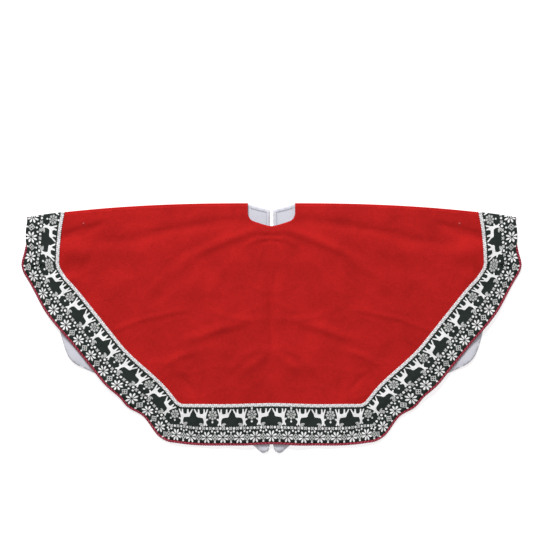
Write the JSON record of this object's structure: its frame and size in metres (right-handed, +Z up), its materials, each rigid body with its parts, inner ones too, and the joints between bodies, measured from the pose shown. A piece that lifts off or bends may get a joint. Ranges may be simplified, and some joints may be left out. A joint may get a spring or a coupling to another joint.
{
  "type": "tree skirt",
  "caption": "Seven-sided lined cloth tree skirt with a patterned hem band, braid and corded edge, folded in half and laid flat, its two slit flaps hinged at the folds.",
  "frame": {"origin": "middle of the folded skirt's box, on the floor it lies on", "axes": "+X along the fold, +Y from the front side of the hem to the fold and the neck, +Z up out of the floor"},
  "size_m": [1.2152, 0.595, 0.0116],
  "materials": {
    "red_cloth": "plain linen-look weave, matt",
    "lining": "pale grey-lilac lining, soft satin sheen",
    "band_cloth": "charcoal ground with white and grey figures, matt",
    "braid": "white plaited braid with silver-grey threads",
    "crimson_cord": "two-ply twisted crimson cord, slight sheen"
  },
  "bodies": {
    "front": {"front_shell": "red_cloth", "front_lining": "lining", "band_left_end": "band_cloth", "band_left_side": "band_cloth", "band_front_side": "band_cloth", "band_right_side": "band_cloth", "band_right_end": "band_cloth", "front_braid": "braid", "front_cord": "crimson_cord", "left_tack": "red_cloth", "right_tack": "red_cloth"},
    "left_flap": {"left_flap_shell": "red_cloth", "left_flap_lining": "lining", "band_left_end_under": "band_cloth", "band_left_back": "band_cloth", "left_flap_braid": "braid", "left_flap_cord": "crimson_cord"},
    "right_flap": {"right_flap_shell": "red_cloth", "right_flap_lining": "lining", "band_right_end_under": "band_cloth", "band_right_back": "band_cloth", "right_flap_braid": "braid", "right_flap_cord": "crimson_cord"}
  },
  "joints": [
    {"name": "left_fold", "type": "hinge", "parent": "front", "child": "left_flap", "pos_m": [-0.0576, 0.30697, 0.0058], "axis": [0.998, 0.0628, 0], "range_deg": [0, 180]},
    {"name": "right_fold", "type": "hinge", "parent": "front", "child": "right_flap", "pos_m": [0.0576, 0.30697, 0.0058], "axis": [0.998, -0.0628, 0], "range_deg": [0, 180]}
  ]
}
